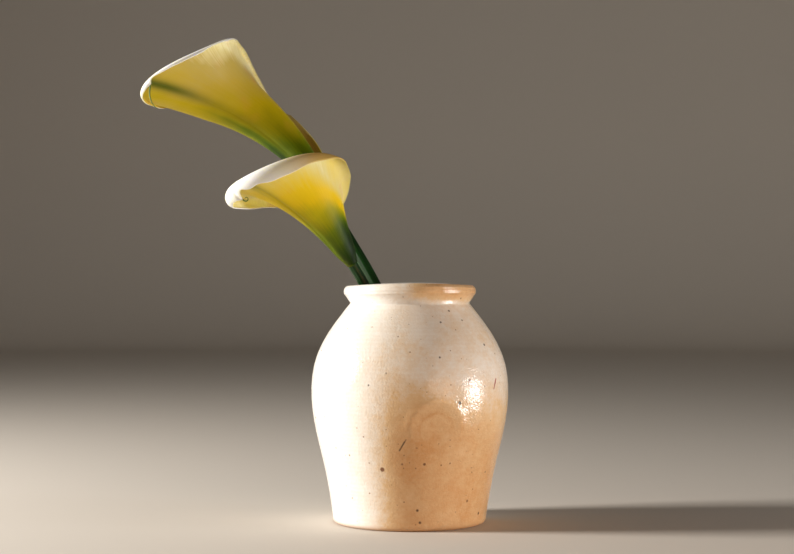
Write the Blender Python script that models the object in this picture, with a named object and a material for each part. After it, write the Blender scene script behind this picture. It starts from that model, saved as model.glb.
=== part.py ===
"""Two calla lilies standing in a hand-thrown stoneware vase.

Frame: metres, +Z up. The origin is on the vase's axis, at the underside of its foot, and -Y is the
front. The dimensions below are in millimetres and degrees, and each mesh is turned to metres as it
is made. Nothing moves: the stems stand on the vase's floor, cross inside it without touching, and
lean out over its rim.
"""

import bpy
import numpy as np

MM = 0.001

# ---- Vase: a turned jar with a narrow neck and a rolled collar ----
FOOT_RADIUS = 57.6
FOOT_ROUND = 3.0
BELLY_RADIUS, BELLY_HEIGHT = 74.0, 100.0
NECK_RADIUS, NECK_HEIGHT = 44.6, 165.3
# (radius, height) up the outside, from the foot's rounded edge to the neck
WALL_STATIONS = [
    (FOOT_RADIUS, FOOT_ROUND),
    (60.0, 20.0),
    (64.6, 44.0),
    (70.3, 68.0),
    (BELLY_RADIUS, BELLY_HEIGHT),
    (71.0, 122.0),
    (63.0, 140.0),
    (53.4, 154.0),
    (NECK_RADIUS, NECK_HEIGHT),
]
COLLAR_CENTRE = (45.1, 175.3)  # of the roll's oval section, as (radius, height)
COLLAR_HALF_WIDTH, COLLAR_HALF_HEIGHT = 4.5, 5.1
COLLAR_START, COLLAR_END = -40.0, 200.0  # degrees round the roll, from outside to inside
THROAT_RADIUS = 38.6
WALL = 6.0
FLOOR = 8.0
FLOOR_FILLET = 6.0
VASE_FACETS = 40

# ---- Stems: (x, y, z) from the vase's floor, past its rim, to the base of the flower ----
STEM_RADIUS = 4.1
STEM_TOP_RADIUS = 3.8
STEM_INSERT = 6.0  # how far a stem's top reaches into its spathe
STEM_POINTS = 26
UPPER_STEM_STATIONS = [(37.0, -14.0, 9.75), (8.0, -3.0, 96.0), (-26.3, 12.0, 180.0)]
LOWER_STEM_STATIONS = [(14.0, 24.0, 9.65), (-12.0, 14.0, 100.0), (-34.6, -2.4, 180.0)]

# ---- Spathes: each is one sheet rolled into a funnel, its two margins overlapping in front and a
# pointed tip at the back. Lengths follow the sheet from its base, and angles are from the axis.
SPATHE_BASE_RADIUS = 6.0
SPATHE_THICKNESS = 1.0
SPATHE_OVERLAP = 0.18  # share of a turn by which each margin passes the front, at the base
NOTCH_FILL = 0.0008  # keeps the notch between the two margins from running down to a slit
SPATHE_COLUMNS, SPATHE_ROWS = 32, 13
COLUMN_CROWDING = 0.55  # 0 for even columns, towards 1 for columns that crowd at the back and front
BEND_LENGTH = 120.0  # the axis curves over this length, towards the back
UPPER_SPATHE = {
    "base": (-65.6, 40.0, 248.8),
    "lean": 24.8,  # of the axis, to the left of upright
    "away": 34.7,  # of the axis, to the rear
    "turn": 46.7,  # of the back of the flower, round the axis
    "bend": 59.0,
    "stand_off": -0.8,  # half the distance between the layers; below 0 the other margin is outside
    "front_length": 52.0,
    "back_length": 164.0,
    "tip_length": 30.0,
    "tip_width": 0.266,
    "back_spread": 0.18,
    "length_skew": 0.0,
    "throat_flare": 7.3,
    "mouth_flare": 14.0,
    "flare_growth": 2.0,
    "lip_start": 0.61,
    "front_curl": 37.0,
    "back_curl": 22.0,
    "tip_curl": 3.4,
    "side_curl": -11.0,
    "curl_skew": 20.0,
    "squeeze": 0.96,
    "twist": 10.7,
}
LOWER_SPATHE = {
    "base": (-43.1, -5.0, 194.6),
    "lean": 29.8,
    "away": -16.3,
    "turn": 34.4,
    "bend": 9.8,
    "stand_off": 0.8,
    "front_length": 46.7,
    "back_length": 134.6,
    "tip_length": 8.6,
    "tip_width": 0.376,
    "back_spread": 0.88,
    "length_skew": 9.2,
    "throat_flare": 8.7,
    "mouth_flare": 45.0,
    "flare_growth": 1.45,
    "lip_start": 0.82,
    "front_curl": 65.0,
    "back_curl": 78.0,
    "tip_curl": 70.0,
    "side_curl": 34.6,
    "curl_skew": 6.2,
    "squeeze": 0.76,
    "twist": 18.4,
}

# ---- Spadices: the finger that stands on the stem inside each spathe ----
SPADIX_LENGTH = 46.0
SPADIX_BASE_RADIUS, SPADIX_RADIUS = 3.2, 3.9
SPADIX_STAND = 0.45  # between a stem's top and its spadix, whose flat ends tilt a little apart
SPADIX_POINTS = 13

STEM_SIDES, SPADIX_SIDES = 12, 12


# ---- Curves and frames -------------------------------------------------------------------------


def flowing_curve(stations, count):
    """Evenly spaced points on the natural cubic spline through the stations, by chord length."""
    knots = np.array(stations, float)
    along = np.concatenate([[0.0], np.cumsum(np.linalg.norm(np.diff(knots, axis=0), axis=1))])
    span = np.diff(along)
    slope = np.diff(knots, axis=0) / span[:, None]
    system = np.eye(len(knots))
    target = np.zeros_like(knots)
    for k in range(1, len(knots) - 1):
        system[k, k - 1 : k + 2] = span[k - 1], 2 * (span[k - 1] + span[k]), span[k]
        target[k] = 6 * (slope[k] - slope[k - 1])
    second = np.linalg.solve(system, target)
    where = np.linspace(0, along[-1], count)
    k = np.clip(np.searchsorted(along, where, side="right") - 1, 0, len(span) - 1)
    h, before, after = span[k, None], (where - along[k])[:, None], (along[k + 1] - where)[:, None]
    bent = (second[k] * after**3 + second[k + 1] * before**3) / (6 * h)
    first = (knots[k] / h - second[k] * h / 6) * after
    last = (knots[k + 1] / h - second[k + 1] * h / 6) * before
    return bent + first + last


def arc(centre, half_width, half_height, start, end, count):
    """(radius, height) points round an oval, from one angle to another, in degrees."""
    angle = np.radians(np.linspace(start, end, count))
    return np.stack([centre[0] + half_width * np.cos(angle), centre[1] + half_height * np.sin(angle)], -1)


def smooth_step(x):
    """0 below 0, 1 above 1, and an S-curve between."""
    x = np.clip(x, 0, 1)
    return x * x * (3 - 2 * x)


def flower_frame(shape):
    """Columns are a flower's back, side and axis directions."""
    lean, away, turn = np.radians([shape["lean"], shape["away"], shape["turn"]])
    axis = np.array([-np.sin(lean) * np.cos(away), np.sin(away), np.cos(lean) * np.cos(away)])
    level = np.array([-np.cos(lean), 0, -np.sin(lean)])
    level -= axis * (level @ axis)
    level /= np.linalg.norm(level)
    back = level * np.cos(turn) + np.cross(axis, level) * np.sin(turn)
    return np.stack([back, np.cross(axis, back), axis], -1)


def place_in_flower(shape, x, y, z):
    """Points of a flower in the object's frame. Its axis curves evenly towards the back up to
    BEND_LENGTH, and runs straight beyond that."""
    rate = np.radians(shape["bend"]) / BEND_LENGTH
    curved = np.clip(z, None, BEND_LENGTH)
    beyond = z - curved
    angle = rate * curved
    bent_x = 1 / rate - (1 / rate - x) * np.cos(angle) + beyond * np.sin(angle)
    bent_z = (1 / rate - x) * np.sin(angle) + beyond * np.cos(angle)
    return np.stack([bent_x, y, bent_z], -1) @ flower_frame(shape).T + np.array(shape["base"])


# ---- Vase --------------------------------------------------------------------------------------


def vase_outline():
    """(radius, height) from the middle of the floor inside, up the inner wall, over the collar and
    down the outside to the middle of the underside."""
    outside = flowing_curve(WALL_STATIONS, 17)
    along = np.gradient(outside, axis=0)
    inward = np.stack([-along[:, 1], along[:, 0]], -1) / np.linalg.norm(along, axis=1)[:, None]
    inside = outside + WALL * inward
    fillet_top = FLOOR + FLOOR_FILLET
    inside = inside[(inside[:, 1] > fillet_top + WALL) & (inside[:, 0] > THROAT_RADIUS)]
    corner = (inside[0, 0] - FLOOR_FILLET - 1.0, fillet_top)
    fillet = arc(corner, FLOOR_FILLET, FLOOR_FILLET, -90, 0, 4)
    collar = arc(COLLAR_CENTRE, COLLAR_HALF_WIDTH, COLLAR_HALF_HEIGHT, COLLAR_END, COLLAR_START, 11)
    foot_centre = (FOOT_RADIUS - FOOT_ROUND, FOOT_ROUND)
    foot = arc(foot_centre, FOOT_ROUND, FOOT_ROUND, 0, -90, 4)
    parts = [
        [(0.0, FLOOR)],
        fillet,
        inside,
        [(THROAT_RADIUS, NECK_HEIGHT)],
        collar,
        outside[:0:-1],
        foot,
        [(0.0, 0.0)],
    ]
    return np.concatenate([np.array(p, float) for p in parts])


def make_vase(material):
    """The outline turned round the Z axis."""
    outline = vase_outline() * MM
    mesh = bpy.data.meshes.new("vase")
    points = [(radius, 0.0, height) for radius, height in outline]
    mesh.from_pydata(points, [(k, k + 1) for k in range(len(points) - 1)], [])
    vase = add_object("vase", mesh, material)
    turn = vase.modifiers.new("turn", "SCREW")
    turn.axis = "Z"
    turn.steps = turn.render_steps = VASE_FACETS
    turn.use_merge_vertices = True
    turn.merge_threshold = 0.00001
    turn.use_smooth_shade = True
    return vase


# ---- Flowers -----------------------------------------------------------------------------------


def spathe_sheet(shape):
    """The outer face of a spathe, as a grid of points: around runs from one margin (-1) over the
    back (0) to the other margin (1), and up runs from the base (0) to the lip (1). Each line up the
    sheet leaves the axis at its flare angle, and its radius and height are the running sums of that
    angle's sine and cosine."""
    even = np.linspace(-1, 1, SPATHE_COLUMNS + 1)[:, None]
    crowded = np.sign(even) * smooth_step(np.abs(even))
    around = even + COLUMN_CROWDING * (crowded - even)
    up = np.linspace(0, 1, SPATHE_ROWS + 1)[None, :]
    back = NOTCH_FILL + (1 - NOTCH_FILL) * (1 + np.cos(np.pi * around)) / 2
    back = back ** shape["back_spread"]
    tip = np.exp(-((around / shape["tip_width"]) ** 2))
    skew = np.sin(np.pi * around)
    length = shape["front_length"] + (shape["back_length"] - shape["front_length"]) * back
    length = length + shape["tip_length"] * tip + shape["length_skew"] * skew
    curl = shape["front_curl"] + (shape["back_curl"] - shape["front_curl"]) * back
    curl = curl + shape["tip_curl"] * tip + shape["side_curl"] * skew**2 + shape["curl_skew"] * skew
    flare = shape["throat_flare"]
    flare = flare + (shape["mouth_flare"] - shape["throat_flare"]) * up ** shape["flare_growth"]
    flare = flare + curl * smooth_step((up - shape["lip_start"]) / (1 - shape["lip_start"]))
    flare = np.radians(flare)

    def running_sum(rate):
        steps = (rate[:, 1:] + rate[:, :-1]) / 2 * length / SPATHE_ROWS
        return np.concatenate([np.zeros((len(around), 1)), np.cumsum(steps, axis=1)], axis=1)

    radius = SPATHE_BASE_RADIUS + shape["stand_off"] * around + running_sum(np.sin(flare))
    height = running_sum(np.cos(flare))
    angle = np.pi * around * (1 + SPATHE_OVERLAP * (1 - up)) + np.radians(shape["twist"]) * up
    x = radius * np.cos(angle)
    y = radius * np.sin(angle) * (1 + (shape["squeeze"] - 1) * up)
    return place_in_flower(shape, x, y, height)


def make_spathe(name, shape, material):
    """The sheet, thickened inwards."""
    sheet = spathe_sheet(shape) * MM
    rows = SPATHE_ROWS + 1
    corner = (np.arange(SPATHE_COLUMNS)[:, None] * rows + np.arange(SPATHE_ROWS)[None, :]).ravel()
    faces = np.stack([corner, corner + rows, corner + rows + 1, corner + 1], -1)
    mesh = bpy.data.meshes.new(name)
    mesh.from_pydata(sheet.reshape(-1, 3).tolist(), [], faces.tolist())
    mesh.shade_smooth()
    spathe = add_object(name, mesh, material)
    thickness = spathe.modifiers.new("thickness", "SOLIDIFY")
    thickness.thickness = SPATHE_THICKNESS * MM
    thickness.offset = -1.0
    thickness.use_even_offset = True
    return spathe


def make_rod(name, path, radii, sides, material):
    """A round rod along a path, with a radius at each point and flat ends."""
    curve = bpy.data.curves.new(name, "CURVE")
    curve.dimensions = "3D"
    curve.bevel_depth = 1.0 * MM
    curve.bevel_resolution = (sides - 4) // 2
    curve.use_fill_caps = True
    spline = curve.splines.new("POLY")
    spline.points.add(len(path) - 1)
    for point, place, radius in zip(spline.points, path * MM, radii):
        point.co = (*place, 1.0)
        point.radius = radius
    return add_object(name, curve, material)


def make_stem(name, shape, stations, material):
    """A stem from the vase's floor to a little way inside its spathe."""
    top = [place_in_flower(shape, 0.0, 0.0, height) for height in (0.0, STEM_INSERT)]
    path = flowing_curve([*stations, *top], STEM_POINTS)
    slimming = smooth_step(np.linspace(-2.0, 1.0, STEM_POINTS) / 0.6)
    radii = STEM_RADIUS + (STEM_TOP_RADIUS - STEM_RADIUS) * slimming
    return make_rod(name, path, radii, STEM_SIDES, material)


def make_spadix(name, shape, material):
    """A finger on the flower's curved axis: it swells from its foot and closes in a half oval."""
    share = np.sin(np.linspace(0, np.pi / 2, SPADIX_POINTS))
    height = STEM_INSERT + SPADIX_STAND + SPADIX_LENGTH * share
    path = place_in_flower(shape, np.zeros_like(height), np.zeros_like(height), height)
    swelling = SPADIX_BASE_RADIUS + (SPADIX_RADIUS - SPADIX_BASE_RADIUS) * smooth_step(share / 0.4)
    closing = np.sqrt(1 - np.clip((share - 0.7) / 0.31, 0, 1) ** 2)
    return make_rod(name, path, swelling * closing, SPADIX_SIDES, material)


# ---- Objects and finishes ----------------------------------------------------------------------


def add_object(name, data, material):
    data.materials.append(material)
    thing = bpy.data.objects.new(name, data)
    bpy.context.collection.objects.link(thing)
    return thing


def finish(name, colour, roughness):
    material = bpy.data.materials.new(name)
    material.use_nodes = True
    surface = material.node_tree.nodes["Principled BSDF"]
    surface.inputs["Base Color"].default_value = (*colour, 1.0)
    surface.inputs["Roughness"].default_value = roughness
    surface.inputs["Metallic"].default_value = 0.0
    return material


def build():
    for thing in list(bpy.data.objects):
        bpy.data.objects.remove(thing)
    glaze = finish("cream_glaze", (0.78, 0.68, 0.56), 0.35)
    stem_green = finish("stem_green", (0.02, 0.09, 0.02), 0.45)
    petal_yellow = finish("spathe_yellow", (0.70, 0.62, 0.10), 0.50)
    pollen_yellow = finish("spadix_yellow", (0.85, 0.55, 0.05), 0.80)
    make_vase(glaze)
    flowers = (("upper", UPPER_SPATHE, UPPER_STEM_STATIONS), ("lower", LOWER_SPATHE, LOWER_STEM_STATIONS))
    for flower, shape, stations in flowers:
        make_stem(f"{flower}_stem", shape, stations, stem_green)
        make_spathe(f"{flower}_spathe", shape, petal_yellow)
        make_spadix(f"{flower}_spadix", shape, pollen_yellow)


build()
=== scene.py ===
"""The looks of two calla lilies in a hand-thrown stoneware vase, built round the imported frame.

Shapes are worked out in millimetres and degrees, as surfaces of two parameters on a grid, and each
mesh is turned to metres as it is made. Each piece stands for a plain solid of the frame. The vase
takes its width and height from that solid, and the flowers repeat the dimensions of theirs.
"""

import bpy
import numpy as np
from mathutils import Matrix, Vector


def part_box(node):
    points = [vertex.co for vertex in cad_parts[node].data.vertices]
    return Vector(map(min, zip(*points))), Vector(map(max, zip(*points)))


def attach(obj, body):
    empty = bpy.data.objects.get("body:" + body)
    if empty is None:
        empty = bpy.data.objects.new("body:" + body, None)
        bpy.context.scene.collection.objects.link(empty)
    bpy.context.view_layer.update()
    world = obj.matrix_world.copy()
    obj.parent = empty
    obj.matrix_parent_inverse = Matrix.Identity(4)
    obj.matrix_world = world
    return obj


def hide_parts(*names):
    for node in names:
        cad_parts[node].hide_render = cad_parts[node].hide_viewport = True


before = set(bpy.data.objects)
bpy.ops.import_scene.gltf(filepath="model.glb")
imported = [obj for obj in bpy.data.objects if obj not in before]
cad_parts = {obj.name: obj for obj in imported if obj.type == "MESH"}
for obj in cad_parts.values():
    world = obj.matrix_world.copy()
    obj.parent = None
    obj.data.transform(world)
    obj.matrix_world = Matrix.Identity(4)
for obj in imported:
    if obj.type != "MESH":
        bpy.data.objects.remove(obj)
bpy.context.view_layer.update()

MM = 0.001
TURN = 2 * np.pi

# ---- Vase: (radius, height) stations up the outside, as on the solid that it stands for ----
VASE_HEIGHT, BELLY_RADIUS = 180.4, 74.0
FOOT_RADIUS, FOOT_ROUND = 57.6, 3.0
WALL_STATIONS = [
    (FOOT_RADIUS, FOOT_ROUND),
    (60.0, 20.0),
    (64.6, 44.0),
    (70.3, 68.0),
    (BELLY_RADIUS, 100.0),
    (71.0, 122.0),
    (63.0, 140.0),
    (53.4, 154.0),
    (44.6, 165.3),
]
COLLAR_CENTRE = (45.1, 175.3)
COLLAR_HALF_WIDTH, COLLAR_HALF_HEIGHT = 4.5, 5.1
THROAT_RADIUS, THROAT_HEIGHT = 38.6, 165.3
COLLAR_START, COLLAR_END = -40.0, 200.0  # degrees round the roll, from outside to inside
COLLAR_SQUARENESS = 0.82  # below 1, the roll's oval section fills out towards a rectangle
WALL, FLOOR, FLOOR_FILLET = 6.0, 8.0, 6.0
VASE_COLUMNS = 320

# ---- Marks of the hand on the vase ----
FINGER_RING, FINE_RING, COLLAR_LINE = 8.3, 3.1, 2.3  # spacing
THUMB_ANGLE, THUMB_HEIGHT = np.radians(285.5), 74.0  # where a thumb dented the belly
THUMB_RADIUS, THUMB_DEPTH = 13.0, 1.4
PUSHED_UP_RADIUS, PUSHED_UP_WIDTH, PUSHED_UP_DEPTH = 21.0, 4.0, 0.8  # the clay that it pushed aside
POOL_ANGLE, POOL_HEIGHT = np.radians(279.5), 62.0  # the thin patch of glaze round the dent
POOL_HALF_WIDTH, POOL_HALF_HEIGHT = 29.0, 33.0
PAINTED_SHADE_TURN, COLLAR_PAINTED_GLOW_TURN = 0.75, 1.0  # from the front to the middle of the painted warm shade, and of the painted glow on the collar, in radians

# ---- Stems: (x, y, z) from the vase's floor to the base of the flower ----
STEM_RADIUS, STEM_TOP_RADIUS = 4.1, 3.8
STEM_INSERT = 6.0
UPPER_STEM_STATIONS = [(37.0, -14.0, 9.75), (8.0, -3.0, 96.0), (-26.3, 12.0, 180.0)]
LOWER_STEM_STATIONS = [(14.0, 24.0, 9.65), (-12.0, 14.0, 100.0), (-34.6, -2.4, 180.0)]
STEM_ROWS, STEM_SIDES = 260, 56

# ---- Spathes: lengths follow the sheet from its base, and angles are from the flower's axis ----
SPATHE_BASE_RADIUS = 6.0
SPATHE_THICKNESS = 1.0
NOTCH_FILL = 0.0008  # keeps the notch between the two margins from running down to a slit
SPATHE_OVERLAP = 0.18  # share of a turn by which each margin passes the front, at the base
SPATHE_COLUMNS, SPATHE_ROWS = 250, 150
BEND_LENGTH = 120.0
EDGE_ROUND = 0.7  # width of the sheet's rounded edge
CLOSING_HEIGHT = 7.0  # over which the sheet closes on the stem at its base
CREASE_DEPTH, CREASE_WIDTH = 0.5, 1.5  # of the groove along the midrib
WAVE_DEPTH = 0.6  # of the slow waves along the lip
FLAP_HEIGHT = 70.0  # by which the outer margin stands off in full
HORN_WIDTH = 0.022  # of the point at the end of the midrib, as a share of half a turn
THREAD_ROWS, THREAD_SIDES = 70, 16
UPPER_SPATHE = {
    "base": (-65.6, 40.0, 248.8),
    "lean": 24.8,
    "away": 34.7,
    "turn": 46.7,
    "bend": 59.0,
    "stand_off": -0.8,  # half the distance between the overlapping layers
    "front_length": 52.0,
    "back_length": 164.0,
    "tip_length": 30.0,
    "tip_width": 0.266,
    "back_spread": 0.18,
    "length_skew": 0.0,
    "throat_flare": 7.3,
    "mouth_flare": 14.0,
    "flare_growth": 2.0,
    "lip_start": 0.61,
    "front_curl": 37.0,
    "back_curl": 22.0,
    "tip_curl": 3.4,
    "side_curl": -11.0,
    "curl_skew": 20.0,
    "squeeze": 0.96,
    "twist": 10.7,
    "margin_roll": 125.0,
    "back_roll": 27.0,
    "roll_skew": -26.0,
    "roll_width": 0.55,
    "roll_start": 0.968,
    "roll_start_skew": -0.014,
    "flap": 14.0,  # how far the outer margin stands off where the layers part
    "painted_shade_from": 0.45,  # from where round the sheet painted shade turns the inner face tan
    "green_far_side": 0.0,  # how much greener, paler and then tanner the far side is
    "pale_far_side": 0.05,
    "tan_far_lip": 0.06,
    "torn_lip": 1.0,
    "green_side": 0.22,  # by how much the side beyond the midrib lags in colour
    "thread_length": 21.0,
    "thread_turn": 62.0,
    "thread_heading": -6.0,
    "thread_radius": 0.6,
}
LOWER_SPATHE = {
    "base": (-43.1, -5.0, 194.6),
    "lean": 29.8,
    "away": -16.3,
    "turn": 34.4,
    "bend": 9.8,
    "stand_off": 0.8,
    "front_length": 46.7,
    "back_length": 134.6,
    "tip_length": 8.6,
    "tip_width": 0.376,
    "back_spread": 0.88,
    "length_skew": 9.2,
    "throat_flare": 8.7,
    "mouth_flare": 45.0,
    "flare_growth": 1.45,
    "lip_start": 0.82,
    "front_curl": 65.0,
    "back_curl": 78.0,
    "tip_curl": 70.0,
    "side_curl": 34.6,
    "curl_skew": 6.2,
    "squeeze": 0.76,
    "twist": 18.4,
    "margin_roll": 12.0,
    "back_roll": -7.0,
    "roll_skew": -41.0,
    "roll_width": 0.49,
    "roll_start": 0.90,
    "roll_start_skew": 0.004,
    "flap": 0.0,
    "painted_shade_from": 0.12,
    "green_far_side": 0.20,
    "pale_far_side": 0.19,
    "tan_far_lip": 0.20,
    "torn_lip": 5.0,  # how far the lip is worn back beside its point
    "green_side": 0.05,
    "thread_length": 9.0,
    "thread_turn": 330.0,
    "thread_heading": 40.0,
    "thread_radius": 0.5,
}
SPADIX_LENGTH, SPADIX_RADIUS, SPADIX_BASE_RADIUS = 46.0, 3.9, 3.2
SPADIX_STAND = 0.45  # between a stem's top and its spadix
SPADIX_ROWS, SPADIX_SIDES = 150, 96
FLORET_CLIMB = 3.2  # by which a row of florets climbs for each wave
FLORET_DEPTH = 0.13  # share of the radius between the florets that is cut away

# ---- View and light, in metres ----
CAMERA_DISTANCE = 1.3345
CAMERA_ASIDE = -0.00945
CAMERA_ABOVE_RIM = 0.0045


# ---- Curves ------------------------------------------------------------------------------------


def smooth_step(x):
    """0 below 0, 1 above 1, and an S-curve between."""
    x = np.clip(x, 0, 1)
    return x * x * (3 - 2 * x)


def hump(x, centre, width):
    """A bell curve of height 1."""
    return np.exp(-(((x - centre) / width) ** 2))


def flowing_curve(stations, count):
    """Evenly spaced points on the natural cubic spline through the stations, by chord length."""
    knots = np.array(stations, float)
    along = np.concatenate([[0.0], np.cumsum(np.linalg.norm(np.diff(knots, axis=0), axis=1))])
    span = np.diff(along)
    slope = np.diff(knots, axis=0) / span[:, None]
    system = np.eye(len(knots))
    target = np.zeros_like(knots)
    for k in range(1, len(knots) - 1):
        system[k, k - 1 : k + 2] = span[k - 1], 2 * (span[k - 1] + span[k]), span[k]
        target[k] = 6 * (slope[k] - slope[k - 1])
    second = np.linalg.solve(system, target)
    where = np.linspace(0, along[-1], count)
    k = np.clip(np.searchsorted(along, where, side="right") - 1, 0, len(span) - 1)
    h, before, after = span[k, None], (where - along[k])[:, None], (along[k + 1] - where)[:, None]
    bent = (second[k] * after**3 + second[k + 1] * before**3) / (6 * h)
    first = (knots[k] / h - second[k] * h / 6) * after
    last = (knots[k + 1] / h - second[k + 1] * h / 6) * before
    return bent + first + last


def arc(centre, half_width, half_height, start, end, count):
    """(radius, height) points round an oval, from one angle to another, in degrees."""
    angle = np.radians(np.linspace(start, end, count))
    return np.stack([centre[0] + half_width * np.cos(angle), centre[1] + half_height * np.sin(angle)], -1)


def distance_along(path):
    """The running length of a line of points."""
    return np.concatenate([[0.0], np.cumsum(np.linalg.norm(np.diff(path, axis=0), axis=1))])


# ---- Meshes ------------------------------------------------------------------------------------


def grid_faces(index):
    """The four-sided faces of a grid of point numbers. They face along the first direction crossed
    with the second."""
    corners = [index[:-1, :-1], index[1:, :-1], index[1:, 1:], index[:-1, 1:]]
    return np.stack([corner.ravel() for corner in corners], -1).tolist()


def fan_faces(rim, centre):
    """Triangles from each side of a closed rim of point numbers to the point at its centre."""
    return [(int(a), int(b), centre) for a, b in zip(rim, np.roll(rim, -1))]


def add_piece(name, stands_for, slot, material, points, faces, uv, **numbers):
    """A smooth mesh from points in millimetres, with (u, v) and any named number for each point. It
    rides on the frame and stands for one of its solids."""
    mesh = bpy.data.meshes.new(name)
    mesh.from_pydata((points * MM).tolist(), [], faces)
    mesh.shade_smooth()
    corners = np.empty(len(mesh.loops), np.int32)
    mesh.loops.foreach_get("vertex_index", corners)
    layer = mesh.uv_layers.new(name="UVMap")
    layer.data.foreach_set("uv", uv[corners].astype(np.float32).ravel())
    for key, values in numbers.items():
        layer = mesh.attributes.new(key, "FLOAT", "POINT")
        layer.data.foreach_set("value", values.astype(np.float32).ravel())
    mesh.materials.append(material)
    piece = bpy.data.objects.new(name, mesh)
    bpy.context.collection.objects.link(piece)
    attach(piece, "root")
    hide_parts(stands_for)


def tube(path, radii):
    """A closed tube. Round each point of the path, square to it, lies a ring whose radius at each side
    is given (a row per point); the rings turn as little as possible along it, and a point in the
    middle closes each end. (u, v) is the share round it and the share along it."""
    rows, sides = radii.shape
    along = np.gradient(path, axis=0)
    along /= np.linalg.norm(along, axis=1)[:, None]
    level = np.cross(along, (0.0, 1.0, 0.0))
    level /= np.linalg.norm(level, axis=1)[:, None]
    upright = np.cross(along, level)
    angle = np.linspace(0, TURN, sides, endpoint=False)[None, :, None]
    ring = level[:, None] * np.cos(angle) + upright[:, None] * np.sin(angle)
    points = (path[:, None] + ring * radii[..., None]).reshape(-1, 3)
    index = np.arange(rows * sides).reshape(rows, sides)
    faces = grid_faces(np.concatenate([index, index[:, :1]], axis=1).T)
    faces += fan_faces(index[0][::-1], len(points)) + fan_faces(index[-1], len(points) + 1)
    share = distance_along(path) / distance_along(path)[-1]
    u = np.concatenate([np.tile(angle.ravel() / TURN, rows), [0.5, 0.5]])
    v = np.concatenate([np.repeat(share, sides), [0.0, 1.0]])
    return np.concatenate([points, path[:1], path[-1:]]), faces, np.stack([u, v], -1)


# ---- Materials ---------------------------------------------------------------------------------


def colour(code):
    """A linear colour from an sRGB hex code."""
    shares = np.array([int(code[k : k + 2], 16) for k in (1, 3, 5)]) / 255
    linear = np.where(shares <= 0.04045, shares / 12.92, ((shares + 0.055) / 1.055) ** 2.4)
    return (*linear.tolist(), 1.0)


def node(tree, kind, inputs=None, stops=None, **settings):
    """A new node with its settings, its inputs (numbers, colours or links) and a ramp's stops."""
    made = tree.nodes.new(kind)
    for key, value in settings.items():
        setattr(made, key, value)
    for key, value in (inputs or {}).items():
        if isinstance(value, bpy.types.NodeSocket):
            tree.links.new(value, made.inputs[key])
        else:
            made.inputs[key].default_value = value
    for k, (place, code) in enumerate(stops or []):
        stop = made.color_ramp.elements[k] if k < 2 else made.color_ramp.elements.new(place)
        stop.position, stop.color = place, colour(code)
    return made


def new_material(name):
    """A material with only a Principled shader, and its node tree and shader."""
    material = bpy.data.materials.new(name)
    material.use_nodes = True
    return material, material.node_tree, material.node_tree.nodes["Principled BSDF"]


def plain(name, code, roughness):
    """A matt material of one colour, for what is too small or too far off to show more."""
    material, _, shader = new_material(name)
    shader.inputs["Base Color"].default_value = colour(code)
    shader.inputs["Roughness"].default_value = roughness
    return material


# Iron spots: (degrees from the vase's front, to the right; height and radius; colour)
IRON_SPOTS = [
    (-18, 46, 1.6, "#7a4c30"),
    (-5, 50, 0.7, "#80583c"),
    (9, 50, 0.9, "#6f4526"),
    (20, 49, 0.8, "#76492a"),
    (26, 50, 0.5, "#76492a"),
    (5, 16, 0.9, "#5d3a20"),
    (7, 7, 1.0, "#4f3120"),
    (44, 21, 1.1, "#8a5f3d"),
    (60, 10, 1.1, "#4c3626"),
    (60, 41, 0.8, "#4c3626"),
    (36, 110, 1.1, "#6b2f22"),
    (29, 94, 1.4, "#1d1511"),
    (28, 92, 0.8, "#43261a"),
    (56, 135, 0.9, "#3d2a20"),
    (18, 127, 0.7, "#3d2a20"),
    (24, 152, 0.8, "#33241c"),
    (36, 160, 0.9, "#33241c"),
    (45, 153, 0.6, "#3d2a20"),
    (53, 169, 0.8, "#6b4127"),
    (-6, 170, 0.8, "#7b6250"),
    (-24, 107, 0.5, "#4c3a30"),
    (-41, 55, 0.6, "#a08468"),
    (4, 62, 0.8, "#a2744e"),
    (-75, 80, 1.1, "#6b4a32"),
    (110, 88, 1.4, "#5d3a20"),
    (140, 128, 0.9, "#463024"),
    (165, 52, 1.2, "#6b4a32"),
    (205, 118, 1.3, "#463024"),
    (250, 74, 0.8, "#6f4526"),
    (285, 130, 1.0, "#5d3a20"),
]
# Short streaks: (first angle, first height, last angle, last height, half width, colour)
IRON_STREAKS = [(-6.5, 60, -2.5, 68, 0.42, "#2e1e14"), (56, 103, 59, 110, 0.7, "#a02428")]
STREAK_DOTS = 13
# Fine specks: (spacing of their cells; largest radius as a share of it; share of cells with one; colour)
FINE_SPECKS = [(4.2, 0.176, 0.5, "#8c6444"), (9.0, 0.096, 0.35, "#7b5a40"), (16.0, 0.08, 0.5, "#4d3728")]
RAGGED_EDGE = 1.6  # by which an iron spot's edge runs in and out
THROWN_LINE_SPACING = 2.992


def iron_marks():
    """Every iron spot, and every streak as a row of dots."""
    marks = list(IRON_SPOTS)
    for first_angle, first_height, last_angle, last_height, half_width, code in IRON_STREAKS:
        angles = np.linspace(first_angle, last_angle, STREAK_DOTS)
        heights = np.linspace(first_height, last_height, STREAK_DOTS)
        marks += [(angle, height, half_width, code) for angle, height in zip(angles, heights)]
    return marks


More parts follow.
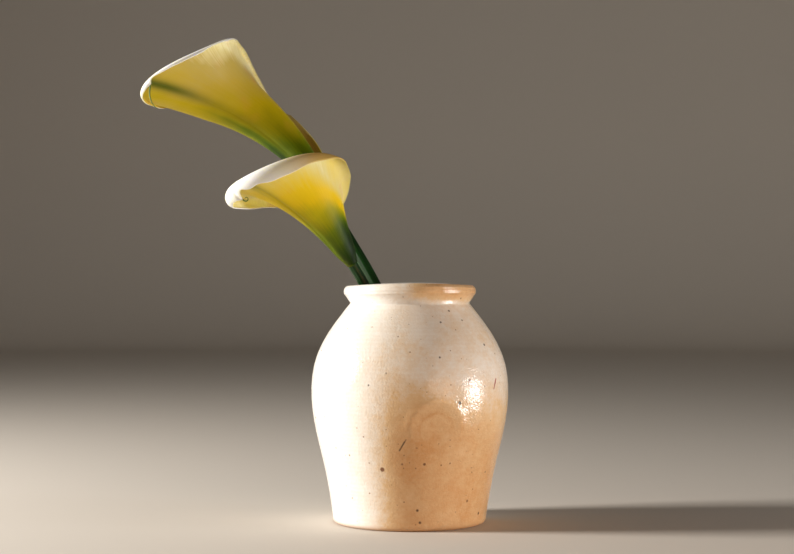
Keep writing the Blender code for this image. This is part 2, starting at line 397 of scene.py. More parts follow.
def glazed_stoneware():
    """Stoneware dipped in a milky feldspar glaze and fired to a gloss: cream, with painted warm shade in tan
    on its right side and round its collar, a tan patch where the glaze lies thin, brown and black iron specks
    that bled through, and an orange-peel skin."""
    material, tree, shader = new_material("dipped_feldspar_glaze_on_stoneware")
    place = node(tree, "ShaderNodeTexCoord").outputs["Object"]
    # Painted warm shade and glow, with the thin patch of glaze, broken up by clouds of 62 mm, 9 mm and 2.5 mm
    noises = []
    for size, detail, roughness in ((62.5, 2.0, 0.5), (9.0909, 4.0, 0.6), (2.5, 3.0, 0.7)):
        inputs = {"Vector": place, "Scale": 1 / (size * MM), "Detail": detail, "Roughness": roughness}
        noises.append(node(tree, "ShaderNodeTexNoise", inputs).outputs[0])
    cloud, mottle, grain = noises
    warm = node(tree, "ShaderNodeAttribute", attribute_name="blush").outputs["Fac"]
    for noise, depth in ((cloud, 0.22), (mottle, 0.16), (grain, 0.13)):
        swing = node(tree, "ShaderNodeMapRange", {0: noise, 1: 0.3, 2: 0.7, 3: -depth / 2, 4: depth / 2})
        warm = node(tree, "ShaderNodeMath", {0: warm, 1: swing.outputs[0]}, operation="ADD").outputs[0]
    # From cream to the tan of the painted warm shade on the right side
    stops = [(0.0, "#f4f0ea"), (0.3, "#ede1d2"), (0.6, "#e2bf92"), (1.0, "#d09a62")]
    surface = node(tree, "ShaderNodeValToRGB", {"Fac": warm}, stops).outputs[0]
    layers = []  # (share, colour) of each thing that lies over the painted shade and thin glaze, in order
    # Thrown lines, wavering. A wave of scale 1 repeats every tenth of pi.
    wavering = {"Distortion": 2.5, "Detail": 2.0, "Detail Scale": 0.4}
    wavering.update({"Vector": place, "Scale": np.pi / 10 / (THROWN_LINE_SPACING * MM)})
    lines = node(tree, "ShaderNodeTexWave", wavering, bands_direction="Z").outputs[1]
    faint = node(tree, "ShaderNodeMath", {0: lines, 1: 0.06}, operation="MULTIPLY")
    layers.append((faint.outputs[0], "#c9a982"))
    # Fine iron specks of three sizes: one cell in a few holds one
    for spacing, largest, share, code in FINE_SPECKS:
        cells = node(tree, "ShaderNodeTexVoronoi", {"Vector": place, "Scale": 1 / (spacing * MM)})
        chance = node(tree, "ShaderNodeSeparateColor", {0: cells.outputs["Color"]}).outputs[0]
        limits = {1: 1 - share, 2: 1.0, 3: 0.0, 4: largest}
        size = node(tree, "ShaderNodeMapRange", {0: chance, **limits}).outputs[0]
        dot = node(tree, "ShaderNodeMath", {0: size, 1: cells.outputs["Distance"]}, operation="SUBTRACT")
        soft = node(tree, "ShaderNodeMapRange", {0: dot.outputs[0], 1: 0.0, 2: 0.05, 3: 0.0, 4: 0.75})
        layers.append((soft.outputs[0], code))
    # The larger iron spots, each where it lies, with a ragged edge
    waver = node(tree, "ShaderNodeMath", {0: mottle, 1: RAGGED_EDGE * MM}, operation="MULTIPLY").outputs[0]
    for angle, height, radius, code in iron_marks():
        turn, reach = np.radians(angle), wall_radius(height)
        centre = (reach * np.sin(turn) * MM, -reach * np.cos(turn) * MM, height * MM)
        away = node(tree, "ShaderNodeVectorMath", {0: place, 1: centre}, operation="DISTANCE")
        ragged = node(tree, "ShaderNodeMath", {0: away.outputs["Value"], 1: waver}, operation="ADD")
        edge = (radius + RAGGED_EDGE / 2) * MM
        limits = {1: edge - 0.4 * MM, 2: edge + 0.3 * MM, 3: 0.9, 4: 0.0}
        layers.append((node(tree, "ShaderNodeMapRange", {0: ragged.outputs[0], **limits}).outputs[0], code))
    # Bare clay shows through at the foot's edge
    height = node(tree, "ShaderNodeSeparateXYZ", {0: place}).outputs[2]
    foot = node(tree, "ShaderNodeMapRange", {0: height, 1: 0.5 * MM, 2: 4.5 * MM, 3: 0.75, 4: 0.0})
    layers.append((foot.outputs[0], "#b98a5e"))
    for share, code in layers:
        inputs = {0: share, 6: surface, 7: colour(code)}
        surface = node(tree, "ShaderNodeMix", inputs, data_type="RGBA").outputs[2]
    tree.links.new(surface, shader.inputs["Base Color"])
    # Gloss, a little broken
    rough = node(tree, "ShaderNodeMapRange", {0: mottle, 1: 0.3, 2: 0.7, 3: 0.10, 4: 0.22})
    tree.links.new(rough.outputs[0], shader.inputs["Roughness"])
    # Orange peel, 1.3 mm across, over slow waves of 9 mm
    pitted = {"Vector": place, "Scale": 1 / (1.3158 * MM), "Detail": 2.0, "Roughness": 0.5}
    peel = node(tree, "ShaderNodeTexNoise", pitted).outputs[0]
    skin = node(tree, "ShaderNodeMath", {0: mottle, 1: 1.2, 2: peel}, operation="MULTIPLY_ADD")
    bump = node(tree, "ShaderNodeBump", {"Strength": 0.55, "Distance": 0.46 * MM, "Height": skin.outputs[0]})
    tree.links.new(bump.outputs[0], shader.inputs["Normal"])
    return material


def spathe_skin(name, outer_stops, inner_stops, midrib_code, inner_shade_code):
    """A calla's spathe, a thick waxy sheet: outside it runs from green at the base through yellow to a
    cream lip, inside it is white with painted tan shade on one side, and some light passes through it. Veins
    run up it."""
    material, tree, shader = new_material(name)
    uv = node(tree, "ShaderNodeUVMap", uv_map="UVMap").outputs[0]
    place = node(tree, "ShaderNodeTexCoord").outputs["Object"]
    inside = node(tree, "ShaderNodeAttribute", attribute_name="inside").outputs["Fac"]
    midrib = node(tree, "ShaderNodeAttribute", attribute_name="midrib").outputs["Fac"]
    ripeness = node(tree, "ShaderNodeAttribute", attribute_name="ripeness").outputs["Fac"]
    painted_inner_shade = node(tree, "ShaderNodeAttribute", attribute_name="painted_inner_shade").outputs["Fac"]
    # Veins: streaks up to 2 mm wide, and about half as long as the sheet
    stretched = node(tree, "ShaderNodeMapping", {"Vector": uv, "Scale": (150.0, 2.2, 1.0)}).outputs[0]
    streaks = {"Vector": stretched, "Scale": 1.0, "Detail": 3.0, "Roughness": 0.6}
    veins = node(tree, "ShaderNodeTexNoise", streaks).outputs[0]
    blotches = {"Vector": place, "Scale": 1 / (26.316 * MM), "Detail": 2.0}
    clouds = node(tree, "ShaderNodeTexNoise", blotches).outputs[0]
    shift = node(tree, "ShaderNodeMapRange", {0: veins, 1: 0.25, 2: 0.75, 3: -0.035, 4: 0.035}).outputs[0]
    drift = node(tree, "ShaderNodeMapRange", {0: clouds, 1: 0.25, 2: 0.75, 3: -0.05, 4: 0.05}).outputs[0]
    both = node(tree, "ShaderNodeMath", {0: shift, 1: drift}, operation="ADD").outputs[0]
    ripe = node(tree, "ShaderNodeMath", {0: ripeness, 1: both}, operation="ADD").outputs[0]
    outer = node(tree, "ShaderNodeValToRGB", {"Fac": ripe}, outer_stops).outputs[0]
    # Ageing: faint orange blotches, 26 mm across, more of them towards the lip
    spots = node(tree, "ShaderNodeMapRange", {0: clouds, 1: 0.50, 2: 0.70, 3: 0.0, 4: 0.6}).outputs[0]
    aged = node(tree, "ShaderNodeMath", {0: spots, 1: ripeness, 2: -0.12}, operation="MULTIPLY_ADD")
    for share, code in ((aged.outputs[0], "#cf9040"), (midrib, midrib_code)):
        inputs = {0: share, 6: outer, 7: colour(code)}
        outer = node(tree, "ShaderNodeMix", inputs, data_type="RGBA").outputs[2]
    inner = node(tree, "ShaderNodeValToRGB", {"Fac": ripe}, inner_stops).outputs[0]
    # Painted shade: tan laid over part of the inner face
    shaded_inner = {0: painted_inner_shade, 6: inner, 7: colour(inner_shade_code)}
    inner = node(tree, "ShaderNodeMix", shaded_inner, data_type="RGBA").outputs[2]
    skin = node(tree, "ShaderNodeMix", {0: inside, 6: outer, 7: inner}, data_type="RGBA").outputs[2]
    tree.links.new(skin, shader.inputs["Base Color"])
    shader.inputs["Roughness"].default_value = 0.5
    shader.inputs["IOR"].default_value = 1.4
    shader.inputs["Specular IOR Level"].default_value = 0.2
    shader.inputs["Subsurface Weight"].default_value = 0.55
    shader.inputs["Subsurface Radius"].default_value = (1.0, 0.95, 0.35)
    shader.inputs["Subsurface Scale"].default_value = 3.0 * MM
    bump = node(tree, "ShaderNodeBump", {"Strength": 0.35, "Distance": 0.5 * MM, "Height": veins})
    tree.links.new(bump.outputs[0], shader.inputs["Normal"])
    return material


def stem_skin():
    """A cut flower stem: smooth, waxy and dark green, with paler threads along it, 1 mm apart."""
    material, tree, shader = new_material("fresh_cut_calla_stem")
    uv = node(tree, "ShaderNodeUVMap", uv_map="UVMap").outputs[0]
    stretched = node(tree, "ShaderNodeMapping", {"Vector": uv, "Scale": (26.0, 3.0, 1.0)})
    threads = node(tree, "ShaderNodeTexNoise", {"Vector": stretched.outputs[0], "Scale": 1.0, "Detail": 4.0})
    stops = [(0.3, "#092208"), (0.5, "#10320e"), (0.7, "#1d4a1a"), (0.8, "#2f6426")]
    green = node(tree, "ShaderNodeValToRGB", {"Fac": threads.outputs[0]}, stops)
    tree.links.new(green.outputs[0], shader.inputs["Base Color"])
    shader.inputs["Roughness"].default_value = 0.36
    shader.inputs["Specular IOR Level"].default_value = 0.3
    shader.inputs["Subsurface Weight"].default_value = 0.1
    shader.inputs["Subsurface Scale"].default_value = 1.5 * MM
    bump = node(tree, "ShaderNodeBump", {"Strength": 0.3, "Distance": 0.3 * MM, "Height": threads.outputs[0]})
    tree.links.new(bump.outputs[0], shader.inputs["Normal"])
    return material


def spadix_skin():
    """A spadix packed with pollen-dusted florets: golden and matt, with painted shade deepening the colour
    between the florets.
    """
    material, tree, shader = new_material("pollen_dusted_spadix")
    place = node(tree, "ShaderNodeTexCoord").outputs["Object"]
    painted_floret_shade = node(tree, "ShaderNodeAttribute", attribute_name="floret").outputs["Fac"]
    # Clumps of pollen, 0.4 mm across
    dust = node(tree, "ShaderNodeTexNoise", {"Vector": place, "Scale": 1 / (0.38462 * MM), "Detail": 2.0})
    # Painted shade and light: the gold is deeper between the florets and lighter on their tops, from their
    # height
    blend = node(tree, "ShaderNodeMath", {0: dust.outputs[0], 1: 0.4, 2: painted_floret_shade}, operation="MULTIPLY_ADD")
    stops = [(0.1, "#b8780f"), (0.6, "#e5ab1c"), (1.0, "#f3cf52")]
    gold = node(tree, "ShaderNodeValToRGB", {"Fac": blend.outputs[0]}, stops)
    tree.links.new(gold.outputs[0], shader.inputs["Base Color"])
    shader.inputs["Roughness"].default_value = 0.85
    bump = node(tree, "ShaderNodeBump", {"Strength": 0.5, "Distance": 0.2 * MM, "Height": dust.outputs[0]})
    tree.links.new(bump.outputs[0], shader.inputs["Normal"])
    return material


# ---- Vase --------------------------------------------------------------------------------------


def wall_radius(height):
    """The radius of the wall or of the collar outside, at a height in mm."""
    wall = np.concatenate([flowing_curve(WALL_STATIONS, 200), [(49.3, 172.0), (49.6, 177.0)]])
    return float(np.interp(height, wall[:, 1], wall[:, 0]))


def vase_profile():
    """(radius, height) from the middle of the underside, round the foot, up the outside, over the
    collar, down the inside and to the middle of the floor."""
    outside = flowing_curve(WALL_STATIONS, 120)
    along = np.gradient(outside, axis=0)
    inward = np.stack([-along[:, 1], along[:, 0]], -1) / np.linalg.norm(along, axis=1)[:, None]
    inside = (outside + WALL * inward)[::2]
    fillet_top = FLOOR + FLOOR_FILLET
    inside = inside[(inside[:, 1] > fillet_top + WALL) & (inside[:, 0] > THROAT_RADIUS)]
    underside = np.stack([np.linspace(0.6, FOOT_RADIUS - FOOT_ROUND, 14), np.zeros(14)], -1)[:-1]
    foot = arc((FOOT_RADIUS - FOOT_ROUND, FOOT_ROUND), FOOT_ROUND, FOOT_ROUND, -90, 0, 10)
    turn = np.radians(np.linspace(COLLAR_START, COLLAR_END, 60))
    collar = np.stack([np.cos(turn), np.sin(turn)], -1)
    collar = np.sign(collar) * np.abs(collar) ** COLLAR_SQUARENESS
    collar = collar * (COLLAR_HALF_WIDTH, COLLAR_HALF_HEIGHT) + COLLAR_CENTRE
    throat = np.array([(THROAT_RADIUS + 0.9, THROAT_HEIGHT + 4), (THROAT_RADIUS, THROAT_HEIGHT)])
    corner = (inside[0, 0] - FLOOR_FILLET - 1.0, fillet_top)
    fillet = arc(corner, FLOOR_FILLET, FLOOR_FILLET, 0, -90, 10)
    floor = np.stack([np.linspace(corner[0], 0.6, 14), np.full(14, FLOOR)], -1)[1:]
    return np.concatenate([underside, foot[:-1], outside, collar, throat, inside[::-1], fillet, floor])


def thumb_mark(angle, height):
    """How far each point of the wall lies from where the thumb pressed, and the share by which the clay
    was pushed up there, which is all of it above the dent and none below."""
    distance = np.hypot((angle - THUMB_ANGLE) * BELLY_RADIUS, height - THUMB_HEIGHT)
    return distance, smooth_step((height - THUMB_HEIGHT + 8) / 14)


def glaze_blush(angle, height):
    """How tan the glaze is painted: painted warm shade on the right, deeper low down, a painted glow of warm
    bounced light round the collar's right side, the patch of thin glaze, and painted shade and light on the
    thumb's ring on top. Each is a product of smooth steps or bell curves."""
    from_front = angle - TURN * 0.75
    # Painted warm shade on the right side, deeper low down
    side = smooth_step((np.cos(from_front - PAINTED_SHADE_TURN) - 0.1) / 0.6)
    collar_side = smooth_step((np.cos(from_front - COLLAR_PAINTED_GLOW_TURN) - 0.3) / 0.4)
    blush = side * (0.35 + 0.45 * smooth_step((125 - height) / 60))
    # Painted glow of warm bounced light round the collar's right side
    blush = np.maximum(blush, 0.8 * smooth_step((height - 164) / 4) * collar_side)
    pool_x = (angle - POOL_ANGLE) * BELLY_RADIUS / POOL_HALF_WIDTH
    from_pool = np.hypot(pool_x, (height - POOL_HEIGHT) / POOL_HALF_HEIGHT)
    upper_left = smooth_step((POOL_ANGLE + 0.25 - angle) / 0.3 + (height - POOL_HEIGHT) / 40)
    pool = 0.10 * smooth_step((1 - from_pool) / 0.08) + 0.07 * hump(from_pool, 1, 0.035)
    blush = blush + upper_left * pool
    # Painted shade along the ridge that the thumb pushed up, and painted light inside its dent
    from_thumb, pushed_up = thumb_mark(angle, height)
    outside_ring = smooth_step((THUMB_RADIUS - from_thumb) / 2)
    return blush + 0.10 * pushed_up * hump(from_thumb, THUMB_RADIUS, 1.4) - 0.05 * outside_ring


def make_vase(material):
    """The profile turned round the Z axis, with the marks of the hand on it: rings left by the fingers, a
    lip that rises front and back, a belly that is not quite round, and a thumb's shallow dent."""
    profile = vase_profile()
    angle = np.linspace(0, TURN, VASE_COLUMNS, endpoint=False)[:, None]
    radius, height = profile[None, :, 0], profile[None, :, 1]
    low, high = np.array(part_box("vase")) / MM
    radius = radius * (high[0] - low[0]) / (2 * BELLY_RADIUS)
    height = height * high[2] / VASE_HEIGHT
    raised = smooth_step((height - 2 * FOOT_ROUND) / 20) * smooth_step(radius / 20)
    rings = 0.035 * np.sin(TURN * height / FINGER_RING + 1.5 * np.sin(angle))
    rings = rings + 0.02 * np.sin(TURN * height / FINE_RING + angle)
    roundness = 0.35 * np.cos(2 * angle + 0.8) + 0.2 * np.cos(3 * angle)
    lip = smooth_step((height - 168) / 10)
    collar_lines = 0.10 * np.sin(TURN * height / COLLAR_LINE + 0.6 * np.sin(2 * angle))
    collar_lines = collar_lines * smooth_step((height - 166) / 2)
    from_thumb, pushed_up = thumb_mark(angle, height)
    dent = PUSHED_UP_DEPTH * pushed_up * hump(from_thumb, PUSHED_UP_RADIUS, PUSHED_UP_WIDTH)
    dent = dent - THUMB_DEPTH * hump(from_thumb, 0, THUMB_RADIUS)
    radius = radius + raised * (rings + roundness + dent) + collar_lines * (radius > THROAT_RADIUS + 3)
    # Painted warm shade, painted glow on the collar and the thin patch of glaze, as a number for each point
    blush = glaze_blush(angle, height)
    height = height - lip * (0.85 + 0.85 * np.cos(2 * angle) - 0.25 * np.cos(angle))
    points = np.stack([radius * np.cos(angle), radius * np.sin(angle), height + 0 * angle], -1)
    rows = points.shape[1]
    index = np.arange(VASE_COLUMNS * rows).reshape(VASE_COLUMNS, rows)
    faces = grid_faces(np.concatenate([index, index[:1]]))
    last = VASE_COLUMNS * rows
    faces += fan_faces(index[::-1, 0], last) + fan_faces(index[:, -1], last + 1)
    points = np.concatenate([points.reshape(-1, 3), [(0, 0, 0), (0, 0, height[0, -1])]])
    u = np.repeat(angle.ravel() / TURN, rows)
    v = np.tile(distance_along(profile) / distance_along(profile)[-1], VASE_COLUMNS)
    uv = np.concatenate([np.stack([u, v], -1), [(0.5, 0.0), (0.5, 1.0)]])
    blush = np.concatenate([blush.ravel(), [0.0, 0.0]])
    add_piece("glazed_vase", "vase", "cream_glaze", material, points, faces, uv, blush=blush)


# ---- Flowers -----------------------------------------------------------------------------------


def flower_frame(shape):
    """Columns are a flower's back, side and axis directions."""
    lean, away, turn = np.radians([shape["lean"], shape["away"], shape["turn"]])
    axis = np.array([-np.sin(lean) * np.cos(away), np.sin(away), np.cos(lean) * np.cos(away)])
    level = np.array([-np.cos(lean), 0, -np.sin(lean)])
    level -= axis * (level @ axis)
    level /= np.linalg.norm(level)
    back = level * np.cos(turn) + np.cross(axis, level) * np.sin(turn)
    return np.stack([back, np.cross(axis, back), axis], -1)


def place_in_flower(shape, x, y, z):
    """Points of a flower in the object's frame. Its axis curves evenly towards the back up to
    BEND_LENGTH, and runs straight beyond that."""
    rate = np.radians(shape["bend"]) / BEND_LENGTH
    curved = np.clip(z, None, BEND_LENGTH)
    beyond = z - curved
    angle = rate * curved
    bent_x = 1 / rate - (1 / rate - x) * np.cos(angle) + beyond * np.sin(angle)
    bent_z = (1 / rate - x) * np.sin(angle) + beyond * np.cos(angle)
    return np.stack([bent_x, y, bent_z], -1) @ flower_frame(shape).T + np.array(shape["base"])


def spathe_sheet(shape, around, up):
    """The outer face of a spathe, the length of each line up it and its radius. around runs from one
    margin (-1) over the back (0) to the other margin (1), and up runs from the base (0) to the lip (1).
    Each line up the sheet leaves the axis at its flare angle, and its radius and height are the running
    sums of that angle's sine and cosine. The flare grows quickly at the end, where the lip rolls over."""
    back = NOTCH_FILL + (1 - NOTCH_FILL) * (1 + np.cos(np.pi * around)) / 2
    back = back ** shape["back_spread"]
    tip = hump(around, 0, shape["tip_width"])
    skew = np.sin(np.pi * around)
    length = shape["front_length"] + (shape["back_length"] - shape["front_length"]) * back
    length = length + shape["tip_length"] * tip + shape["length_skew"] * skew
    curl = shape["front_curl"] + (shape["back_curl"] - shape["front_curl"]) * back
    curl = curl + shape["tip_curl"] * tip + shape["side_curl"] * skew**2 + shape["curl_skew"] * skew
    roll = shape["margin_roll"] + shape["back_roll"] * hump(around, 0, shape["roll_width"])
    roll = roll + shape["roll_skew"] * skew
    roll = roll * (1 + 0.10 * np.sin(7 * around + 1) + 0.07 * np.sin(16 * around))
    roll_start = shape["roll_start"] + shape["roll_start_skew"] * skew
    flare = shape["throat_flare"]
    flare = flare + (shape["mouth_flare"] - shape["throat_flare"]) * up ** shape["flare_growth"]
    flare = flare + curl * smooth_step((up - shape["lip_start"]) / (1 - shape["lip_start"]))
    flare = flare + roll * smooth_step((up - roll_start) / (1 - roll_start))
    flare = np.radians(flare)

    def running_sum(rate):
        """The sum of a rate up each line, by the trapezoid rule."""
        steps = (rate[:, 1:] + rate[:, :-1]) / 2 * length * np.diff(up, axis=1)
        return np.concatenate([np.zeros((len(around), 1)), np.cumsum(steps, axis=1)], axis=1)

    height = running_sum(np.cos(flare))
    joining = hump(height, 0, CLOSING_HEIGHT)
    radius = SPATHE_BASE_RADIUS - joining * (SPATHE_BASE_RADIUS - STEM_TOP_RADIUS - 0.5)
    radius = radius + shape["stand_off"] * around * (1 - 0.7 * joining) + running_sum(np.sin(flare))
    outermost = smooth_step((around * np.sign(shape["stand_off"]) - 0.8) / 0.2)
    radius = radius + shape["flap"] * outermost * smooth_step(height / FLAP_HEIGHT)
    crease = hump(around * np.pi * radius, 0, CREASE_WIDTH)
    radius = radius - CREASE_DEPTH * crease * smooth_step(up / 0.2)
    waves = np.sin(5.0 * around + 0.8) + 0.7 * np.sin(9.0 * around - 1.0) + 0.4 * np.sin(17.0 * around)
    radius = radius + WAVE_DEPTH * waves * smooth_step((up - 0.55) / 0.45)
    angle = np.pi * around * (1 + SPATHE_OVERLAP * (1 - up)) + np.radians(shape["twist"]) * up
    x = radius * np.cos(angle)
    y = radius * np.sin(angle) * (1 + (shape["squeeze"] - 1) * up)
    return place_in_flower(shape, x, y, height), length * np.ones_like(up), radius


def spathe_grid(shape):
    """The (around, up) grid of a spathe: columns crowd at the back and front and rows at the lip, and
    the lip is worn back by sums of sines, most beside the point at the end of the midrib."""
    even = np.linspace(-1, 1, SPATHE_COLUMNS + 1)[:, None]
    around = 0.4 * even + 0.6 * np.sign(even) * smooth_step(np.abs(even))
    worn = 0.8 + 0.5 * np.sin(23 * around) + 0.3 * np.sin(41 * around)
    worn = worn + shape["torn_lip"] * hump(around, 0.05, 0.11) * (1 + 0.3 * np.sin(60 * around))
    worn = worn * (1 - hump(around, 0, HORN_WIDTH))
    crowded = 1 - (1 - np.linspace(0, 1, SPATHE_ROWS + 1)[None, :]) ** 1.6
    return around, (1 - worn / shape["back_length"]) * crowded


def spathe_colouring(shape, around, up, radius):
    """For each point of a spathe, how strongly the midrib shows, how ripe the sheet is, from green (0) to
    its lip's colour (1), and how much painted tan shade lies on its inner face."""
    rib_strength = 0.38 + 0.57 * smooth_step((up - 0.65) / 0.25) + 0.3 * smooth_step((0.5 - up) / 0.4)
    midrib = hump(around * np.pi * radius, 0, 2.6 + 3.0 * up) * rib_strength
    near_side = smooth_step(-around * 8) * hump(around, -0.1, 0.6)
    far_side = smooth_step((around - 0.25) / 0.35)
    ripeness = up - shape["green_side"] * near_side
    ripeness = ripeness - 0.30 * smooth_step((up - 0.75) / 0.25) * hump(around, 0, 0.16)
    ripeness = ripeness - shape["green_far_side"] * far_side * smooth_step((0.65 - up) / 0.35)
    ripeness = ripeness + shape["pale_far_side"] * far_side * smooth_step((up - 0.35) / 0.4)
    ripeness = np.minimum(ripeness, 1 - shape["tan_far_lip"] * far_side)
    # Painted shade on the inner face: tan past a point round the sheet, and near the other margin
    painted_inner_shade = smooth_step((around - shape["painted_shade_from"]) / 0.3) + smooth_step((-around - 0.7) / 0.15)
    return {"midrib": midrib, "ripeness": ripeness, "painted_inner_shade": painted_inner_shade * np.ones_like(up)}


def make_spathe(name, stands_for, shape, material):
    """The sheet as a closed shell: its outer face, and an inner face set in along the surface normal by a
    thickness that rounds off to nothing at every edge. Returns the point at the end of its midrib."""
    around, up = spathe_grid(shape)
    outer, length, radius = spathe_sheet(shape, around, up)
    across = np.gradient(outer, axis=0)
    normal = np.cross(across, np.gradient(outer, axis=1))
    normal /= np.linalg.norm(normal, axis=-1)[..., None]
    from_lip = length * (up[:, -1:] - up)
    from_margin = np.cumsum(np.linalg.norm(across, axis=-1), axis=0)
    from_margin = np.minimum(from_margin, from_margin[-1] - from_margin)
    edge = np.minimum(np.minimum(from_lip, from_margin), length * up)
    rounding = np.sqrt(1 - (1 - np.clip(edge / EDGE_ROUND, 0, 1)) ** 2)
    inner = outer - normal * (SPATHE_THICKNESS * rounding)[..., None]
    index = np.arange(outer[..., 0].size).reshape(outer.shape[:2])
    inner_index = index.copy()
    middle = (slice(1, -1), slice(1, -1))
    inner_index[middle] = index.size + np.arange(index[middle].size).reshape(index[middle].shape)
    faces = grid_faces(index) + [face[::-1] for face in grid_faces(inner_index)]

    def both_faces(outer_values, inner_values, *parts):
        """The value, or its parts, at each point: the outer face, then the inner one inside its edge."""
        return np.concatenate([outer_values.reshape(-1, *parts), inner_values[middle].reshape(-1, *parts)])

    uv = np.stack(np.broadcast_arrays((around + 1) / 2, up), -1)
    colouring = spathe_colouring(shape, around, up, radius)
    numbers = {key: both_faces(values, values) for key, values in colouring.items()}
    numbers["inside"] = both_faces(np.zeros(index.shape), np.ones(index.shape))
    points, uv = both_faces(outer, inner, 3), both_faces(uv, uv, 2)
    add_piece(name, stands_for, "calla_spathe", material, points, faces, uv, **numbers)
    return outer[SPATHE_COLUMNS // 2, -1]


def make_stem(name, stands_for, shape, stations, material):
    """A stem from the vase's floor to a little way inside its spathe, with faint ribs along it."""
    top = [place_in_flower(shape, 0.0, 0.0, height) for height in (0.0, STEM_INSERT)]
    path = flowing_curve([*stations, *top], STEM_ROWS)
    slimming = smooth_step(np.linspace(-2.0, 1.0, STEM_ROWS) / 0.6)[:, None]
    side = np.linspace(0, TURN, STEM_SIDES, endpoint=False)[None, :]
    radii = STEM_RADIUS + (STEM_TOP_RADIUS - STEM_RADIUS) * slimming
    radii = radii + 0.06 * np.cos(9 * side) + 0.04 * np.cos(14 * side + 1)
    points, faces, uv = tube(path, radii)
    add_piece(name, stands_for, "calla_stem", material, points, faces, uv)


def make_spadix(name, stands_for, shape, material):
    """A finger on the flower's curved axis, closed in a half oval and covered in florets: two sets of
    waves that wind round it in opposite directions."""
    share = np.sin(np.linspace(0, np.pi / 2, SPADIX_ROWS))
    height = STEM_INSERT + SPADIX_STAND + SPADIX_LENGTH * share
    path = place_in_flower(shape, np.zeros_like(height), np.zeros_like(height), height)
    swelling = SPADIX_BASE_RADIUS + (SPADIX_RADIUS - SPADIX_BASE_RADIUS) * smooth_step(share / 0.4)
    closing = np.sqrt(1 - np.clip((share - 0.7) / 0.305, 0, 1) ** 2)
    side = np.linspace(0, TURN, SPADIX_SIDES, endpoint=False)[None, :]
    climb = height[:, None] * TURN / FLORET_CLIMB
    florets = np.cos((7 * side + climb) / 2) ** 2 * np.cos((8 * side - climb) / 2) ** 2
    radii = (swelling * closing)[:, None] * (1 - FLORET_DEPTH + FLORET_DEPTH * np.sqrt(florets))
    points, faces, uv = tube(path, radii)
    florets = np.concatenate([florets.ravel(), [0.5, 0.5]])
    add_piece(name, stands_for, "calla_spadix", material, points, faces, uv, floret=florets)


def make_thread(name, stands_for, shape, tip, material):
    """The thread in which a spathe's midrib ends: a tapering tube that starts in the spathe's point. Its
    heading, an angle in the picture plane from straight down, turns faster and faster towards its end."""
    share = np.linspace(0, 1, THREAD_ROWS)
    angle = np.radians(shape["thread_heading"] + shape["thread_turn"] * share**1.6)
    step = np.stack([np.sin(angle), 0.3 * share - 0.45, -np.cos(angle)], -1)
    path = tip + np.cumsum(step * shape["thread_length"] / THREAD_ROWS, axis=0)
    radii = shape["thread_radius"] * (1 - 0.7 * share**1.5)[:, None] * np.ones((1, THREAD_SIDES))
    points, faces, uv = tube(path, radii)
    add_piece(name, stands_for, "calla_spathe", material, points, faces, uv)


# ---- Stage, light and view ---------------------------------------------------------------------


def make_sweep():
    """A plain pale floor that curves up into a backdrop all the way round: a profile of a flat, a quarter
    circle and a wall, in metres, turned round the Z axis."""
    flat, painted_floret_shade, top = 3.2, 0.6, 2.6
    floor = np.stack([np.linspace(0.05, flat, 30), np.zeros(30)], -1)
    turn = np.radians(np.linspace(-90, 0, 24))
    corner = np.stack([flat + painted_floret_shade * np.cos(turn), painted_floret_shade + painted_floret_shade * np.sin(turn)], -1)
    wall = np.stack([np.full(6, flat + painted_floret_shade), np.linspace(painted_floret_shade, top, 6)], -1)
    profile = np.concatenate([floor, corner[1:], wall[1:]])
    angle = np.linspace(0, TURN, 96, endpoint=False)[:, None]
    radius, height = profile[None, :, 0], profile[None, :, 1]
    points = np.stack([radius * np.cos(angle), radius * np.sin(angle), height + 0 * angle], -1)
    index = np.arange(points[..., 0].size).reshape(points.shape[:2])
    faces = grid_faces(np.concatenate([index, index[:1]])[::-1]) + fan_faces(index[:, 0], index.size)
    mesh = bpy.data.meshes.new("sweep")
    mesh.from_pydata([*points.reshape(-1, 3).tolist(), (0, 0, 0)], [], faces)
    mesh.shade_smooth()
    mesh.materials.append(plain("pale_paper_backdrop", "#d2cac0", 0.9))
    sweep = bpy.data.objects.new("sweep", mesh)
    bpy.context.collection.objects.link(sweep)


def aim(thing, target):
    """Turns a lamp or camera so that it looks at a point."""
    direction = Vector(target) - thing.location
    thing.rotation_euler = direction.to_track_quat("-Z", "Y").to_euler()


def add_light(name, place, target, size, power, code):
    """A soft box of a size in metres and a power in watts, aimed at a target."""
    lamp = bpy.data.lights.new(name, "AREA")
    lamp.shape = "RECTANGLE"
    lamp.size, lamp.size_y = size
    lamp.energy = power
    lamp.color = colour(code)[:3]
    light = bpy.data.objects.new(name, lamp)
    light.location = place
    bpy.context.collection.objects.link(light)
    aim(light, target)
    return lamp


def light_the_stage():
    """A soft key low on the left, a weak fill from the right, a warm glow as off a wooden table, a small
    lamp that glints in the glaze, and a dim room."""
    middle = (-0.02, 0.0, 0.18)
    add_light("key", (-1.55, -0.12, 0.62), middle, (0.34, 0.34), 47.0, "#fffaf3")
    add_light("fill", (0.9, -1.3, 0.5), middle, (0.9, 0.9), 0.30, "#fff0e0")
    bounce = add_light("bounce", (0.62, -0.80, 0.16), (0.03, 0.0, -0.01), (0.36, 0.14), 0.22, "#ffb878")
    bounce.spread = np.radians(70)  # narrower than a bare panel, so the glow stays low on the vase
    glint = add_light("glint", (1.25, -0.30, 0.08), (0.0, 0.0, 0.1), (0.11, 0.20), 11.0, "#ffffff")
    glint.shape = "ELLIPSE"
    glint.diffuse_factor = 0.04  # it is there for its reflection in the glaze
    world = bpy.data.worlds.new("room")
    world.use_nodes = True
    world.node_tree.nodes["Background"].inputs["Color"].default_value = colour("#e9e4dd")
    world.node_tree.nodes["Background"].inputs["Strength"].default_value = 0.06
    bpy.context.scene.world = world
    bpy.context.scene.view_settings.view_transform = "Standard"


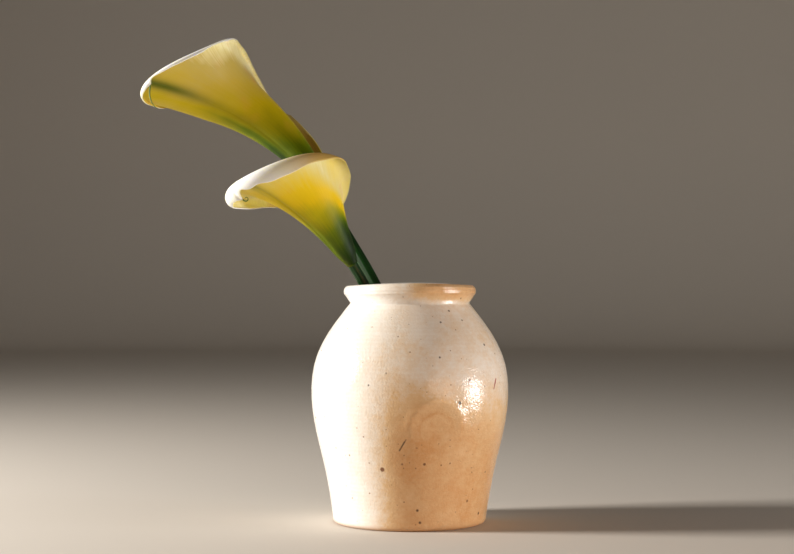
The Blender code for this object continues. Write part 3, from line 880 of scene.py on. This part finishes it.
def set_up_camera():
    """A level 80 mm lens in front, just above the height of the vase's rim."""
    lens = bpy.data.cameras.new("camera")
    lens.lens, lens.sensor_width = 80.0, 36.0
    camera = bpy.data.objects.new("camera", lens)
    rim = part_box("vase")[1][2]
    camera.location = (CAMERA_ASIDE, -CAMERA_DISTANCE, rim + CAMERA_ABOVE_RIM)
    camera.rotation_euler = (np.pi / 2, 0.0, 0.0)
    bpy.context.collection.objects.link(camera)
    bpy.context.scene.camera = camera


set_up_camera()
make_sweep()
light_the_stage()

upper_stops = [
    (0.00, "#172c06"),
    (0.14, "#304a00"),
    (0.28, "#5f6e00"),
    (0.42, "#9a9200"),
    (0.56, "#b6a308"),
    (0.72, "#bba640"),
    (0.86, "#b8a75e"),
    (0.94, "#d4caa0"),
    (1.00, "#ece8d6"),
]
lower_stops = [
    (0.00, "#152c06"),
    (0.10, "#2c4600"),
    (0.22, "#637400"),
    (0.36, "#a8a000"),
    (0.48, "#d4b800"),
    (0.60, "#dabd14"),
    (0.72, "#d6c260"),
    (0.86, "#d4cb98"),
    (1.00, "#f4efe0"),
]
inner_stops = [(0.00, "#8f9c34"), (0.25, "#cfcf7c"), (0.50, "#e9e6c4"), (0.75, "#f2f2ea"), (1.00, "#f4f5f1")]

make_vase(glazed_stoneware())
stem_material = stem_skin()
spadix_material = spadix_skin()
thread_material = plain("drying_spathe_point", "#4f6a16", 0.5)
# Each flower's last colour is the tan of the painted shade on its inner face
flowers = (
    ("upper", UPPER_SPATHE, UPPER_STEM_STATIONS, upper_stops, "#4c5800", "#b09a50"),
    ("lower", LOWER_SPATHE, LOWER_STEM_STATIONS, lower_stops, "#5f6c00", "#c6a65c"),
)
for flower, shape, stations, outer_stops, midrib_code, inner_shade_code in flowers:
    skin = spathe_skin(f"waxy_{flower}_spathe", outer_stops, inner_stops, midrib_code, inner_shade_code)
    make_stem(f"{flower}_green_stem", f"{flower}_stem", shape, stations, stem_material)
    tip = make_spathe(f"{flower}_rolled_spathe", f"{flower}_spathe", shape, skin)
    make_thread(f"{flower}_tip_thread", f"{flower}_spathe", shape, tip, thread_material)
    make_spadix(f"{flower}_floret_spadix", f"{flower}_spadix", shape, spadix_material)
